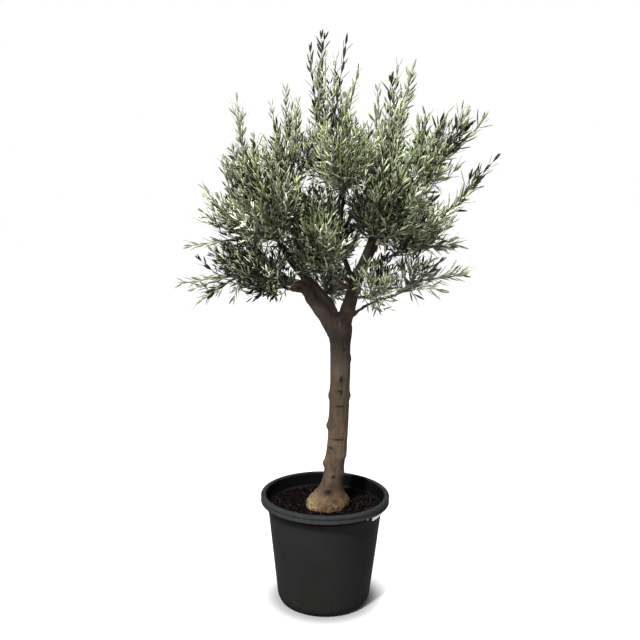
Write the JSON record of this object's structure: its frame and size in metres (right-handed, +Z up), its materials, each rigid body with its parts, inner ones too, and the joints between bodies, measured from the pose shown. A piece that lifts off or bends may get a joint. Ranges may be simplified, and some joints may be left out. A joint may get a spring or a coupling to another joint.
{
  "type": "potted olive tree",
  "caption": "Olive standard: a clear knotted trunk forks into boughs that carry an open crown of narrow grey-green leaves, in a round dark nursery pot.",
  "frame": {"origin": "centre of the pot's flat underside, on the surface the pot stands on", "axes": "+Z up along the tree's height; -Y is the front, +X is to the right seen from the front"},
  "size_m": [0.9746, 0.62, 1.8088],
  "materials": {
    "pot_plastic": "satin",
    "potting_soil": "matte",
    "blank_label": "satin",
    "bark": "matte",
    "foliage": "satin"
  },
  "bodies": {
    "root": {"bough_left_outer": "bark", "bough_left_upper": "bark", "bough_right": "bark", "branch_back": "bark", "branch_back_left": "bark", "branch_back_right": "bark", "branch_between": "bark", "branch_front": "bark", "branch_front_left": "bark", "branch_front_right": "bark", "branch_heart": "bark", "branch_left": "bark", "branch_left_spike": "bark", "branch_low_front": "bark", "branch_low_inner": "bark", "branch_right": "bark", "branch_right_up": "bark", "branch_top": "bark", "branch_top_back": "bark", "branch_top_front": "bark", "foliage_back": "foliage", "foliage_back_left": "foliage", "foliage_back_right": "foliage", "foliage_between": "foliage", "foliage_front": "foliage", "foliage_front_left": "foliage", "foliage_front_right": "foliage", "foliage_heart": "foliage", "foliage_left": "foliage", "foliage_left_spike": "foliage", "foliage_low_front": "foliage", "foliage_low_inner": "foliage", "foliage_low_left": "foliage", "foliage_low_right": "foliage", "foliage_right": "foliage", "foliage_right_up": "foliage", "foliage_top": "foliage", "foliage_top_back": "foliage", "foliage_top_front": "foliage", "foliage_top_left": "foliage", "foliage_top_right": "foliage", "label": "blank_label", "pot": "pot_plastic", "shoot_low_right": "bark", "soil": "potting_soil", "stud": "blank_label", "trunk": "bark"}
  },
  "joints": []
}
